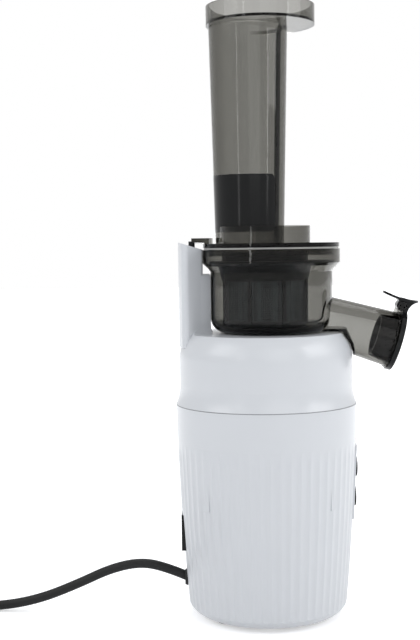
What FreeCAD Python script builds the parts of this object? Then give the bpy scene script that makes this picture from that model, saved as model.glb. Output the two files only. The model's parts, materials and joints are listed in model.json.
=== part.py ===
import FreeCAD, Part
import math
import os

V = FreeCAD.Vector
UP = V(0, 0, 1)

# Cold press juicer, in millimetres. The origin is on the drive axis at the standing plane.
# +Z is up, +X points at the juice spout, and the tower and the mains cord are at -X.

# Clearances
RUN = 0.05
PLAY = 0.3
SLIP = 0.1

# Lower housing: a barrel with flutes, below a plain band
FOOT_HEIGHT = 2.5
BOTTOM_R = 49.7
MIDDLE_Z = 62.0
BARREL_BULGE = 1.23421
SEAM_Z = 135.5
SEAM_R = 57.0
BOTTOM_ROUND = 10.0
WALL = 2.5
FLUTES = 56
FLUTE_DEPTH = 0.5
FLUTE_LAND = 0.14
FLUTE_TOP_Z = 104.0
FLUTE_FADE = 8.0

# Base plate, feet and base screws
PLATE_R = 39.5
FOOT_R = 6.0
FOOT_RING_R = 33.2
FOOT_ANGLE = 35.0
FOOT_SEAT = 1.2
BASE_SCREW_RING_R = 34.0
BASE_BOSS_R = 4.0
BASE_BOSS_TOP_Z = 15.0
VENT_SLOTS = 10
VENT_R = 20.0

# Upper housing, its deck and the tower
NECK_R = 54.6
NECK_Z = 147.0
SHOULDER_Z = 163.5
DECK_R = 48.6
DECK_Z = 180.0
TOWER_TOP_Z = 237.5
TOWER_FALL = 4.5
TOWER_HALF = 19.2
TOWER_FRONT_HALF = 11.0
TOWER_WALL = 2.5
TOWER_ROUND = 3.0
TOWER_FOOT_ROUND = 4.0

# Bowl, offset towards the spout
BOWL_X = 4.0
BOWL_R = 38.4
BOWL_WALL = 2.2
BOWL_FLOOR = 3.0
BOWL_ROUND = 9.0
BOWL_RIM_R = 43.3
SHOULDER_LOW_Z = 218.5
SHOULDER_HIGH_Z = 224.0
RIM_Z = 232.5
HUB_R = 9.5
HUB_TOP_Z = 192.0

# Spout and its stopper
SPOUT_TILT = 17.0
SPOUT_X = 80.5
SPOUT_Z = 174.3
SPOUT_R = 17.5
SPOUT_WALL = 1.7
SPOUT_TAPER = 0.052
SPOUT_LENGTH = 52.0
SPOUT_CLEAR = 0.9
STOPPER_DISC_R = 19.2
STOPPER_DISC = 3.0
STOPPER_PLUG = 12.0
STOPPER_PIN_R = 1.5
STOPPER_HUB_R = 3.5
STOPPER_LUG_R = 2.6
PIVOT_U = -1.0
PIVOT_V = 22.3
PAD_BACK = 14.5
PAD_FRONT = 8.7
PAD_TOP_V = 28.3

# Pulp duct on the far side
DUCT_HALF = 9.0
DUCT_Z = 184.0
DUCT_HEIGHT = 13.0
DUCT_REACH = 59.0

# Strainer
STRAINER_R = 27.2
STRAINER_WALL = 1.6
STRAINER_Z = 184.2
STRAINER_TOP_Z = 231.0
MESH_TOP_Z = 213.0
MESH_WALL = 0.6
STRAINER_RIBS = 8
FLANGE = 2.4

# Auger
AUGER_R = 25.2
AUGER_Z = 187.0
AUGER_TOP_Z = 229.0
CORE_BOTTOM_R = 18.5
CORE_TOP_R = 9.0
FLIGHT_PITCH = 52.0
FLIGHT_STARTS = 2
FLIGHT_THICK = 3.4
TOP_PIN_R = 3.5

# Drive shaft
SHAFT_R = 6.0
SHAFT_SHOULDER_Z = 190.0
HEX_FLATS = 9.0
HEX_TOP_Z = 206.0

# Feeding chute: lid, collar, feed tube and hopper in one moulding
LID_R = 42.9
LID_Z = 233.7
LID_TOP_Z = 236.3
LID_SKIRT_R = 39.3
LID_TURN = 18.0
LUGS = 3
LUG_SPAN = 30.0
LEDGE_SPAN = 50.0
LEDGE_CLEAR = 0.6
LUG_Z = 228.6
LUG_HEIGHT = 1.8
COLLAR_R = 28.7
COLLAR_TOP_Z = 247.0
TUBE_X = -9.0
TUBE_Y = 5.0
TUBE_FOOT_R = 21.7
TUBE_TOP_R = 24.8
HOPPER_X = -1.6
HOPPER_Y = -3.5
HOPPER_R = 33.8
HOPPER_Z = 371.0
TOP_Z = 382.8
CHUTE_WALL = 2.0
TAB_HALF_ANGLE = 5.8
TAB_R = 51.5
TAB_THICK = 3.4

# Interlock in the tower
PLUNGER_X = -46.0
PLUNGER_R = 2.0
PLUNGER_TRAVEL = 2.0
PLUNGER_TOP_Z = 238.0

# Gear train: motor 12, first idler 38 and 12, second idler 32 and 12, drive wheel 36
MODULE = 1.0
DRIVE_MODULE = 1.25
PINION_TEETH = 12
FIRST_TEETH = 38
SECOND_TEETH = 32
DRIVE_TEETH = 36
PRESSURE_ANGLE = 25.0
BACKLASH = 0.24
FIRST_GEAR_Z = 104.0
GEAR_WIDTH = 7.0
GEAR_SPACE = 1.5
DRIVE_GEAR_WIDTH = 9.0

# Gearbox frame and bearings
FRAME_Z = 98.0
FRAME_THICK = 3.0
FRAME_INSET = 5.6
COVER_Z = 132.3
COVER_THICK = 3.0
BEARING_R = 11.0
BEARING_WIDTH = 6.0
BEARING_WALL = 2.5
AXLE_R = 1.5
FRAME_POST_R = 3.5
FRAME_POST_ANGLES = (-28.0, 160.0, 270.0)
BOARD = 1.6

# Motor
MOTOR_R = 26.0
MOTOR_Z = 36.0
MOTOR_WALL = 1.6
MAGNET_THICK = 5.0
ARMATURE_R = 17.5
ARMATURE_SLOTS = 8
MOTOR_SHAFT_R = 2.5

# Front panel, buttons and indicator
PANEL_HALF = 11.5
PANEL_Z = 61.0
PANEL_HEIGHT = 47.0
PANEL_ROUND = 5.0
PANEL_PROUD = 1.0
BEZEL_WIDTH = 1.8
BUTTON_R = 6.5
BUTTON_TRAVEL = 1.2
BUTTON_PROUD = 1.6
START_Z = 94.0
REVERSE_Z = 75.0
KEY_SWITCH = 3.6
LENS_R = 1.6
LENS_Z = 111.5

# Rocker mains switch at the rear
ROCKER_Z = 53.5
ROCKER_HALF_HEIGHT = 9.6
ROCKER_HALF_WIDTH = 6.6
ROCKER_R = 8.4
ROCKER_FRAME = 1.8
ROCKER_SWING = 14.0

# Mains cord, coil and plug
CORD_R = 3.0
CORD_EXIT_Z = 23.5
GROMMET_R = 5.6
GROMMET_LIP = 1.2
GROMMET_PROUD = 1.4
COIL_X = -217.0
COIL_Y = -28.5
COIL_OUTER_R = 38.5
COIL_STEP = 6.7
COIL_TURNS = 4.25
COIL_LOW_Z = 3.1
COIL_LAYER = 6.7
PLUG_LENGTH = 34.0


def cylinder(radius, low, high, x=0.0, y=0.0):
    return Part.makeCylinder(radius, high - low, V(x, y, low))


def cone(low_radius, high_radius, low, high, x=0.0, y=0.0):
    return Part.makeCone(low_radius, high_radius, high - low, V(x, y, low))


def ring(outer, inner, low, high, x=0.0, y=0.0):
    return cylinder(outer, low, high, x, y).cut(cylinder(inner, low - 1, high + 1, x, y))


def block(x0, x1, y0, y1, z0, z1):
    return Part.makeBox(x1 - x0, y1 - y0, z1 - z0, V(x0, y0, z0))


def turned(start, steps, x=0.0, y=0.0):
    """A solid turned about Z. A step is one (r, z) for a line, or two of them for an arc."""
    here = V(start[0], 0, start[1])
    first = here
    edges = []
    for step in steps:
        points = [V(r, 0, z) for r, z in step]
        if len(points) == 1:
            edges.append(Part.LineSegment(here, points[0]).toShape())
        else:
            edges.append(Part.Arc(here, points[0], points[1]).toShape())
        here = points[-1]
    edges.append(Part.LineSegment(here, first).toShape())
    face = Part.Face(Part.Wire(edges))
    solid = face.revolve(V(0, 0, 0), UP, 360)
    solid.translate(V(x, y, 0))
    return solid


def prism(points, low, high):
    corners = [V(x, y, low) for x, y in points]
    face = Part.Face(Part.makePolygon(corners + corners[:1]))
    return face.extrude(V(0, 0, high - low))


def spun(shape, angle, x=0.0, y=0.0):
    copy = shape.copy()
    copy.rotate(V(x, y, 0), UP, angle)
    return copy


def around(shape, count, start=0.0, x=0.0, y=0.0):
    return [spun(shape, start + index * 360.0 / count, x, y) for index in range(count)]


def joined(shapes):
    whole = shapes[0].fuse(shapes[1:]) if len(shapes) > 1 else shapes[0]
    return whole.removeSplitter()


def rounded(shape, radius, wanted):
    edges = [edge for edge in shape.Edges if wanted(edge)]
    return shape.makeFillet(radius, edges)


def upright(edge):
    ends = edge.Vertexes
    if len(ends) != 2:
        return False
    run = ends[1].Point - ends[0].Point
    return abs(run.z) > 1 and math.hypot(run.x, run.y) < 0.01 * abs(run.z)


def polar(radius, angle, x=0.0, y=0.0):
    return (x + radius * math.cos(math.radians(angle)), y + radius * math.sin(math.radians(angle)))


# The barrel of the lower housing is an arc through three (radius, height) points.
def circle_through(a, b, c):
    d = 2 * (a[0] * (b[1] - c[1]) + b[0] * (c[1] - a[1]) + c[0] * (a[1] - b[1]))
    squares = [p[0] ** 2 + p[1] ** 2 for p in (a, b, c)]
    x = (squares[0] * (b[1] - c[1]) + squares[1] * (c[1] - a[1]) + squares[2] * (a[1] - b[1])) / d
    y = (squares[0] * (c[0] - b[0]) + squares[1] * (a[0] - c[0]) + squares[2] * (b[0] - a[0])) / d
    return x, y, math.hypot(a[0] - x, a[1] - y)


FRAME_R = NECK_R - FRAME_INSET
MIDDLE_RISE = (MIDDLE_Z - FOOT_HEIGHT) / (SEAM_Z - FOOT_HEIGHT)
MIDDLE_R = BOTTOM_R + (SEAM_R - BOTTOM_R) * MIDDLE_RISE + BARREL_BULGE
BARREL = circle_through((BOTTOM_R, FOOT_HEIGHT), (MIDDLE_R, MIDDLE_Z), (SEAM_R, SEAM_Z))


def wall_radius(z):
    centre_r, centre_z, radius = BARREL
    return centre_r + math.sqrt(radius ** 2 - (z - centre_z) ** 2)


def barrel(offset, low, high):
    """The barrel's solid between two heights, with its skin moved out by the offset."""
    middle = (low + high) / 2
    skin = [(wall_radius(z) + offset, z) for z in (low, middle, high)]
    return turned((0, low), [[skin[0]], [skin[1], skin[2]], [(0, high)]])


def fluted_wire(z, depth):
    radius = wall_radius(z)
    pitch = 360.0 / FLUTES
    edges = []
    for index in range(FLUTES):
        start = index * pitch
        end = start + pitch * (1 - FLUTE_LAND)
        a = V(*polar(radius, start), z)
        middle = V(*polar(radius - depth, (start + end) / 2), z)
        b = V(*polar(radius, end), z)
        c = V(*polar(radius, start + pitch), z)
        edges.append(Part.Arc(a, middle, b).toShape())
        edges.append(Part.LineSegment(b, c).toShape())
    return Part.Wire(edges)


def panel_block(margin, depth):
    low = PANEL_Z - margin
    high = PANEL_Z + PANEL_HEIGHT + margin
    half = PANEL_HALF + margin
    solid = block(wall_radius(PANEL_Z) - depth, SEAM_R + 10, -half, half, low, high)
    return rounded(solid, PANEL_ROUND + margin, lies_along_x)


def lies_along_x(edge):
    run = edge.Vertexes[-1].Point - edge.Vertexes[0].Point
    return abs(run.x) > 1 and abs(run.y) + abs(run.z) < 0.01


def lower_housing():
    levels = [FOOT_HEIGHT + share * (FLUTE_TOP_Z - FOOT_HEIGHT) for share in (0, 0.3, 0.65, 1)]
    fluted = Part.makeLoft([fluted_wire(z, FLUTE_DEPTH) for z in levels], True, True)
    fade_z = FLUTE_TOP_Z + FLUTE_FADE
    fade = Part.makeLoft([fluted_wire(FLUTE_TOP_Z, FLUTE_DEPTH), fluted_wire(fade_z, 0.03)], True, True)
    body = fluted.fuse([fade, barrel(0, fade_z, SEAM_Z)])
    turn_z = FOOT_HEIGHT + BOTTOM_ROUND
    side_r = wall_radius(turn_z) + 0.3
    flat_r = side_r - BOTTOM_ROUND
    lean = BOTTOM_ROUND * math.sqrt(0.5)
    corner = (flat_r + lean, turn_z - lean)
    envelope = turned(
        (0, FOOT_HEIGHT),
        [[(flat_r, FOOT_HEIGHT)], [corner, (side_r, turn_z)], [(SEAM_R + 5, turn_z)], [(SEAM_R + 5, SEAM_Z)], [(0, SEAM_Z)]],
    )
    body = body.common(envelope)
    inner_r = wall_radius(turn_z) - WALL
    inner_round = BOTTOM_ROUND - WALL
    inner_flat = inner_r - inner_round
    inner_lean = inner_round * math.sqrt(0.5)
    middle = (turn_z + SEAM_Z) / 2
    cavity = turned(
        (0, FOOT_HEIGHT + WALL),
        [
            [(inner_flat, FOOT_HEIGHT + WALL)],
            [(inner_flat + inner_lean, turn_z - inner_lean), (inner_r, turn_z)],
            [(wall_radius(middle) - WALL, middle), (SEAM_R - WALL, SEAM_Z)],
            [(0, SEAM_Z)],
        ],
    )
    body = body.cut(cavity)
    body = body.cut(cylinder(PLATE_R, 0, FOOT_HEIGHT + 2 * WALL))
    floor_z = FOOT_HEIGHT + WALL
    boss = cylinder(BASE_BOSS_R, floor_z, BASE_BOSS_TOP_Z, BASE_SCREW_RING_R)
    web = block(BASE_SCREW_RING_R, inner_r + 1, -1.5, 1.5, floor_z + WALL, BASE_BOSS_TOP_Z)
    hole = cylinder(1.6, 0, BASE_BOSS_TOP_Z - 2, BASE_SCREW_RING_R)
    post = boss.fuse(web).cut(hole)
    rib = block(FRAME_R - 7, wall_radius(FRAME_Z) - 1, -2.5, 2.5, FRAME_Z - 24, FRAME_Z)
    rib = rib.cut(cylinder(1.6, FRAME_Z - 12, FRAME_Z + 1, FRAME_R - 4))
    body = body.fuse(around(post, 4) + around(rib, 4, 45) + board_brackets())
    body = body.cut(panel_block(0, 12))
    body = body.cut(rocker_opening(0))
    body = body.cut(Part.makeCylinder(GROMMET_R - GROMMET_LIP, 20, V(-60, 0, CORD_EXIT_Z), V(1, 0, 0)))
    body = body.cut(Part.makeCylinder(LENS_R, 20, V(45, 0, LENS_Z), V(1, 0, 0)))
    return body


def base_plate():
    top = FOOT_HEIGHT + WALL
    plate = cylinder(PLATE_R, FOOT_HEIGHT, top)
    slot = block(VENT_R - 7, VENT_R + 7, -1.5, 1.5, 0, top + 1)
    cuts = around(slot, VENT_SLOTS)
    cuts += [cylinder(FOOT_R, 0, FOOT_HEIGHT + FOOT_SEAT, x, y) for x, y in foot_places()]
    cuts += around(cylinder(1.7, 0, top + 1, BASE_SCREW_RING_R), 4)
    cuts += around(cylinder(3.2, 0, FOOT_HEIGHT + 1.2, BASE_SCREW_RING_R), 4)
    return plate.cut(cuts)


def foot_places():
    angles = (FOOT_ANGLE, 180 - FOOT_ANGLE, 180 + FOOT_ANGLE, 360 - FOOT_ANGLE)
    return [polar(FOOT_RING_R, angle) for angle in angles]


def rubber_feet():
    feet = []
    for x, y in foot_places():
        foot = cone(FOOT_R - 0.6, FOOT_R, 0, 1.2, x, y)
        feet.append(foot.fuse(cylinder(FOOT_R, 1.2, FOOT_HEIGHT + FOOT_SEAT, x, y)).removeSplitter())
    return Part.makeCompound(feet)


def base_screws():
    head = cylinder(3.0, FOOT_HEIGHT - 0.6, FOOT_HEIGHT + 1.2, BASE_SCREW_RING_R)
    screw = head.fuse(cylinder(1.6, FOOT_HEIGHT + 1.2, BASE_BOSS_TOP_Z - 3, BASE_SCREW_RING_R))
    return Part.makeCompound(around(screw, 4))


def upper_outline(wall):
    """The upper housing's outline, moved in by the wall."""
    top = DECK_Z - wall
    return turned(
        (0, SEAM_Z),
        [
            [(SEAM_R - wall, SEAM_Z)],
            [(NECK_R + 0.9 - wall, NECK_Z - 7), (NECK_R - wall, NECK_Z)],
            [(NECK_R - wall, SHOULDER_Z)],
            [(NECK_R - 1.5 - wall, SHOULDER_Z + 9.2 - 0.4 * wall), (DECK_R - wall, top)],
            [(0, top)],
        ],
    )


def deck_envelope(offset):
    """The deck and the wall below it in straight lines, moved out, for the spout to clear."""
    low = SEAM_Z - 20
    return turned(
        (0, low),
        [
            [(NECK_R + offset, low)],
            [(NECK_R + offset, SHOULDER_Z)],
            [(NECK_R - 1.5 + offset, SHOULDER_Z + 9.2)],
            [(DECK_R + offset, DECK_Z + offset)],
            [(0, DECK_Z + offset)],
        ],
    )


def tower_top_z(x):
    depth = NECK_R + x
    return TOWER_TOP_Z - TOWER_FALL * depth / 14.4


def tower_solid(inset, low, high):
    """The tower's plan, moved in by the inset, between two heights."""
    front_x = BOWL_X - math.sqrt((BOWL_RIM_R + 0.9) ** 2 - TOWER_FRONT_HALF ** 2)
    slope = (TOWER_HALF - TOWER_FRONT_HALF) / 12.3
    back_x = -NECK_R - 6
    front_half = TOWER_FRONT_HALF - inset * 1.2
    back_half = TOWER_FRONT_HALF + (front_x - back_x) * slope - inset * 1.2
    inner_x = front_x + 6
    inner_half = front_half - 6 * slope
    plan = [(inner_x, -inner_half), (inner_x, inner_half), (back_x, back_half), (back_x, -back_half)]
    tower = prism(plan, low, high).common(cylinder(NECK_R - inset, low, high))
    return tower.cut(cylinder(BOWL_RIM_R + 0.9 + inset, low - 1, high + 1, BOWL_X))


def tower_top_cut(inset):
    outer = tower_top_z(-NECK_R) - inset
    inner = tower_top_z(-NECK_R + 20) - inset
    low = V(-NECK_R - 5, -40, outer + TOWER_FALL * 5 / 14.4)
    side = [low, V(-NECK_R + 20, -40, inner), V(-NECK_R + 20, -40, 300), V(-NECK_R - 5, -40, 300)]
    return Part.Face(Part.makePolygon(side + side[:1])).extrude(V(0, 80, 0))


def upper_housing():
    body = upper_outline(0)
    tower = tower_solid(0, DECK_Z - 8, TOWER_TOP_Z + 5).cut(tower_top_cut(0))
    tower = rounded(tower, TOWER_ROUND, upright)
    body = body.fuse(tower).removeSplitter()
    on_deck = lambda edge: all(abs(v.Point.z - DECK_Z) < 0.01 and v.Point.x < -35 for v in edge.Vertexes)
    body = rounded(body, TOWER_FOOT_ROUND, lambda e: on_deck(e) and e.CenterOfMass.x > -46 and e.Length < 60)
    body = body.cut(upper_outline(WALL))
    body = body.cut(tower_solid(TOWER_WALL, DECK_Z - 9, TOWER_TOP_Z).cut(tower_top_cut(TOWER_WALL)))
    bearing_z = DECK_Z - WALL - BEARING_WIDTH
    boss = cylinder(BEARING_R + BEARING_WALL, bearing_z, DECK_Z - WALL)
    brace = block(BEARING_R, DECK_R - 1.2, -1.25, 1.25, SHOULDER_Z + 2, DECK_Z - WALL)
    body = body.fuse([boss] + around(brace, 4, 45))
    body = body.cut(cylinder(BEARING_R, bearing_z - 20, DECK_Z - WALL))
    body = body.cut(cylinder(SHAFT_R + 2.5, bearing_z, DECK_Z + 1))
    body = body.cut(ring(HUB_R + 4, HUB_R + 2, DECK_Z - 1, DECK_Z + 1))
    post = cylinder(4, COVER_Z + COVER_THICK, SHOULDER_Z + 4, FRAME_R - 4)
    post = post.cut(cylinder(1.6, COVER_Z, COVER_Z + 16, FRAME_R - 4))
    body = body.fuse(around(post, 4, 45))
    body = body.cut(cylinder(PLUNGER_R + PLAY, TOWER_TOP_Z - 20, TOWER_TOP_Z + 5, PLUNGER_X))
    return body


def shaft_seal():
    lip = ring(SHAFT_R + 2.5, SHAFT_R + SLIP, DECK_Z - WALL, DECK_Z + 1.6)
    flange = ring(HUB_R - 0.2, SHAFT_R + SLIP, DECK_Z, DECK_Z + 1.6)
    return lip.fuse(flange).removeSplitter()


# Gears
def gear(teeth, module, width, z, bore):
    pitch_r = teeth * module / 2
    tip_r = pitch_r + 0.9 * module
    root_r = pitch_r - 1.2 * module
    angle = math.radians(PRESSURE_ANGLE)
    base_r = pitch_r * math.cos(angle)
    half = (math.pi * module / 2 - BACKLASH / 2) / (2 * pitch_r)

    def involute(radius):
        roll = math.acos(min(1.0, base_r / radius))
        return math.tan(roll) - roll

    start_r = max(base_r, root_r + 0.15 * module)
    levels = [start_r, (start_r + tip_r) / 2, tip_r]
    flank = [(r, half + involute(pitch_r) - involute(r)) for r in levels]
    side = [(root_r, flank[0][1] + 0.04 * module / pitch_r)] + flank
    points = []
    for index in range(teeth):
        centre = index * 2 * math.pi / teeth
        for radius, spread in side:
            points.append((radius * math.cos(centre - spread), radius * math.sin(centre - spread)))
        for radius, spread in reversed(side):
            points.append((radius * math.cos(centre + spread), radius * math.sin(centre + spread)))
    wheel = prism(points, z, z + width)
    return wheel.cut(cylinder(bore, z - 1, z + width + 1)) if bore else wheel


def meshing_phase(driver_phase, driver_teeth, direction, teeth):
    """The turn of a wheel that puts its gap at the driver's tooth, in degrees."""
    pitch = 360.0 / driver_teeth
    lead = (direction - driver_phase) % pitch
    return direction + 180 + 180.0 / teeth + lead * driver_teeth / teeth


DRIVE_TO_SECOND = DRIVE_MODULE * (DRIVE_TEETH + PINION_TEETH) / 2
SECOND_TO_FIRST = MODULE * (SECOND_TEETH + PINION_TEETH) / 2
FIRST_TO_MOTOR = MODULE * (FIRST_TEETH + PINION_TEETH) / 2
SECOND = (0.0, DRIVE_TO_SECOND)
FIRST_Y = (FIRST_TO_MOTOR ** 2 - SECOND_TO_FIRST ** 2 + DRIVE_TO_SECOND ** 2) / (2 * DRIVE_TO_SECOND)
FIRST = (math.sqrt(FIRST_TO_MOTOR ** 2 - FIRST_Y ** 2), FIRST_Y)
SECOND_GEAR_Z = FIRST_GEAR_Z + GEAR_WIDTH + GEAR_SPACE
DRIVE_GEAR_Z = SECOND_GEAR_Z + GEAR_WIDTH + GEAR_SPACE
SECOND_DIRECTION = 90.0
SECOND_PINION_PHASE = meshing_phase(0, DRIVE_TEETH, SECOND_DIRECTION, PINION_TEETH)
FIRST_DIRECTION = math.degrees(math.atan2(FIRST[1] - SECOND[1], FIRST[0] - SECOND[0]))
FIRST_PINION_PHASE = meshing_phase(SECOND_PINION_PHASE, SECOND_TEETH, FIRST_DIRECTION, PINION_TEETH)
MOTOR_DIRECTION = math.degrees(math.atan2(-FIRST[1], -FIRST[0]))
MOTOR_PINION_PHASE = meshing_phase(FIRST_PINION_PHASE, FIRST_TEETH, MOTOR_DIRECTION, PINION_TEETH)


def placed_gear(shape, phase, place):
    shape.rotate(V(0, 0, 0), UP, phase)
    shape.translate(V(place[0], place[1], 0))
    return shape


def drive_gear():
    wheel = gear(DRIVE_TEETH, DRIVE_MODULE, DRIVE_GEAR_WIDTH, DRIVE_GEAR_Z, SHAFT_R)
    return wheel.cut(around(cylinder(4, DRIVE_GEAR_Z - 1, DRIVE_GEAR_Z + 20, 13.5), 5, 18))


def second_idler():
    wheel = gear(SECOND_TEETH, MODULE, GEAR_WIDTH, SECOND_GEAR_Z, 0)
    pinion = gear(PINION_TEETH, DRIVE_MODULE, DRIVE_GEAR_WIDTH + GEAR_SPACE, DRIVE_GEAR_Z - GEAR_SPACE, 0)
    both = wheel.fuse(pinion).cut(cylinder(AXLE_R + RUN, SECOND_GEAR_Z - 1, COVER_Z))
    return placed_gear(both, SECOND_PINION_PHASE, SECOND)


def first_idler():
    wheel = gear(FIRST_TEETH, MODULE, GEAR_WIDTH, FIRST_GEAR_Z, 0)
    pinion = gear(PINION_TEETH, MODULE, GEAR_WIDTH + GEAR_SPACE, SECOND_GEAR_Z - GEAR_SPACE, 0)
    both = wheel.fuse(pinion).cut(cylinder(AXLE_R + RUN, FIRST_GEAR_Z - 1, DRIVE_GEAR_Z))
    return placed_gear(both, FIRST_PINION_PHASE, FIRST)


def motor_pinion():
    wheel = gear(PINION_TEETH, MODULE, GEAR_WIDTH, FIRST_GEAR_Z, MOTOR_SHAFT_R)
    return placed_gear(wheel, MOTOR_PINION_PHASE, (0, 0))


def hexagon(flats, low, high):
    corner = flats / math.sqrt(3)
    return prism([polar(corner, 60 * index) for index in range(6)], low, high)


def drive_shaft():
    low = cylinder(SHAFT_R, DRIVE_GEAR_Z - 0.5, SHAFT_SHOULDER_Z)
    return low.fuse(hexagon(HEX_FLATS, SHAFT_SHOULDER_Z, HEX_TOP_Z))


def drive_bearings():
    low = ring(BEARING_R, SHAFT_R + RUN, COVER_Z + COVER_THICK, COVER_Z + COVER_THICK + BEARING_WIDTH)
    high_z = DECK_Z - WALL
    return Part.makeCompound([low, ring(BEARING_R, SHAFT_R + RUN, high_z - BEARING_WIDTH, high_z)])


def gearbox_frame():
    plate = cylinder(FRAME_R, FRAME_Z, FRAME_Z + FRAME_THICK)
    top = FRAME_Z + FRAME_THICK
    posts = [cylinder(FRAME_POST_R, top, COVER_Z, *polar(FRAME_R - 5, angle)) for angle in FRAME_POST_ANGLES]
    hubs = [cylinder(4, top, FIRST_GEAR_Z - PLAY, *FIRST), cylinder(4, top, FIRST_GEAR_Z - PLAY)]
    plate = plate.fuse(posts + hubs)
    plate = plate.cut(cylinder(MOTOR_SHAFT_R + 1, FRAME_Z - 1, FIRST_GEAR_Z + 1))
    plate = plate.cut([cylinder(AXLE_R, FRAME_Z, COVER_Z, *FIRST), cylinder(AXLE_R, FRAME_Z, COVER_Z, *SECOND)])
    plate = plate.cut(block(board_face_x() - BOARD - 1, FRAME_R + 1, -16, 16, FRAME_Z - 1, top + 1))
    return plate.cut(around(cylinder(1.7, FRAME_Z - 1, top + 1, FRAME_R - 4), 4, 45))


def gearbox_cover():
    top = COVER_Z + COVER_THICK
    plate = cylinder(FRAME_R, COVER_Z, top)
    boss = cylinder(BEARING_R + BEARING_WALL, top, top + BEARING_WIDTH)
    plate = plate.fuse(boss).cut(cylinder(BEARING_R, top, top + BEARING_WIDTH + 1))
    plate = plate.cut(cylinder(SHAFT_R + 1, COVER_Z - 1, top + 1))
    plate = plate.cut(cylinder(AXLE_R, COVER_Z - 1, top - 1, *SECOND))
    return plate.cut(around(cylinder(1.7, COVER_Z - 1, top + 1, FRAME_R - 4), 4, 45))


def idler_axles():
    first = cylinder(AXLE_R, FRAME_Z, SECOND_GEAR_Z + GEAR_WIDTH, *FIRST)
    second = cylinder(AXLE_R, FRAME_Z, COVER_Z + COVER_THICK - 1, *SECOND)
    return Part.makeCompound([first, second])


def frame_screws():
    low = FRAME_Z + FRAME_THICK
    screw = cylinder(3.0, low, low + 2, FRAME_R - 4).fuse(cylinder(1.6, FRAME_Z - 10, low, FRAME_R - 4))
    high = cylinder(3.0, COVER_Z - 2, COVER_Z, FRAME_R - 4)
    high = high.fuse(cylinder(1.6, COVER_Z, COVER_Z + 14, FRAME_R - 4))
    return Part.makeCompound(around(screw, 4, 45) + around(high, 4, 45))


# Motor
def motor_can():
    can = ring(MOTOR_R, MOTOR_R - MOTOR_WALL, MOTOR_Z, FRAME_Z)
    top = ring(MOTOR_R - 0.5, 6, FRAME_Z - MOTOR_WALL, FRAME_Z)
    return can.fuse(top).removeSplitter()


def motor_magnets():
    outer = MOTOR_R - MOTOR_WALL
    tube = ring(outer, outer - MAGNET_THICK, MOTOR_Z + 10, FRAME_Z - 12)
    gap = block(-40, 40, -6, 6, 0, 200)
    return Part.makeCompound(tube.cut(gap).Solids)


def motor_end_bell():
    disc = cylinder(MOTOR_R, MOTOR_Z - 3, MOTOR_Z)
    rim = cylinder(MOTOR_R - MOTOR_WALL, MOTOR_Z, MOTOR_Z + 4).cut(cylinder(MOTOR_R - MOTOR_WALL - 2, MOTOR_Z, MOTOR_Z + 5))
    boss = cylinder(8, MOTOR_Z - 7, MOTOR_Z - 3)
    bell = disc.fuse([rim, boss])
    return bell.cut(cylinder(6, MOTOR_Z - 5, MOTOR_Z + 5))


def motor_bearings():
    low = ring(6, MOTOR_SHAFT_R + RUN, MOTOR_Z - 5, MOTOR_Z)
    high = ring(6, MOTOR_SHAFT_R + RUN, FRAME_Z - 5, FRAME_Z)
    return Part.makeCompound([low, high])


def armature():
    core = cylinder(ARMATURE_R, MOTOR_Z + 14, FRAME_Z - 16)
    core = core.cut(around(cylinder(2.4, 0, 200, ARMATURE_R - 1), ARMATURE_SLOTS))
    commutator = cylinder(8, MOTOR_Z + 4, MOTOR_Z + 14)
    return core.fuse(commutator).cut(cylinder(MOTOR_SHAFT_R, 0, 200))


def motor_shaft():
    return cylinder(MOTOR_SHAFT_R, MOTOR_Z - 4.5, FIRST_GEAR_Z + GEAR_WIDTH)


# Front panel
def panel_skin(offset):
    """The wall behind the panel as a plain cone, moved out by the offset."""
    high = PANEL_Z + PANEL_HEIGHT
    return cone(wall_radius(PANEL_Z) + offset, wall_radius(high) + offset, PANEL_Z, high)


def panel_face():
    solid = panel_block(-BEZEL_WIDTH, 8).common(panel_skin(PANEL_PROUD - 0.4))
    solid = solid.cut(panel_skin(-WALL))
    holes = [button_bore(z, BUTTON_R + PLAY) for z in (START_Z, REVERSE_Z)]
    return solid.cut(holes)


def front_bezel():
    solid = panel_block(0, 8).common(panel_skin(PANEL_PROUD))
    solid = solid.cut(panel_skin(-WALL))
    return solid.cut(panel_block(-BEZEL_WIDTH, 12))


def button_bore(z, radius):
    return Part.makeCylinder(radius, 40, V(30, 0, z), V(1, 0, 0))


def push_button(z):
    face_x = wall_radius(z) + BUTTON_PROUD
    cap_back = wall_radius(z) - WALL - 1.6
    cap = Part.makeCylinder(BUTTON_R, face_x - cap_back, V(cap_back, 0, z), V(1, 0, 0))
    dish = Part.makeSphere(40, V(face_x + 39.3, 0, z))
    flange = Part.makeCylinder(BUTTON_R + 1.2, 1.2, V(cap_back - 1.2, 0, z), V(1, 0, 0))
    stem_x = board_face_x() + KEY_SWITCH + PLAY + BUTTON_TRAVEL
    stem = Part.makeCylinder(1.6, cap_back - 1.2 - stem_x, V(stem_x, 0, z), V(1, 0, 0))
    return cap.cut(dish).fuse([flange, stem]).removeSplitter()


def board_face_x():
    return wall_radius(PANEL_Z) - WALL - 12.0


def control_board():
    face = board_face_x()
    board = block(face - BOARD, face, -14, 14, PANEL_Z - 4, LENS_Z + 3)
    for z in (START_Z, REVERSE_Z):
        board = board.fuse(block(face, face + KEY_SWITCH, -3, 3, z - 3, z + 3))
    middle = (START_Z + REVERSE_Z) / 2
    chip = block(face, face + 2, -5, 5, middle - 3.5, middle + 3.5)
    return board.fuse(chip)


def board_brackets():
    face = board_face_x()
    brackets = []
    for z in (PANEL_Z - 3, LENS_Z - 2):
        for side in (-1, 1):
            y = side * 12.5
            brackets.append(block(face, wall_radius(z) - WALL, y - 1, y + 1, z - 1, z + 3))
    return brackets


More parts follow.
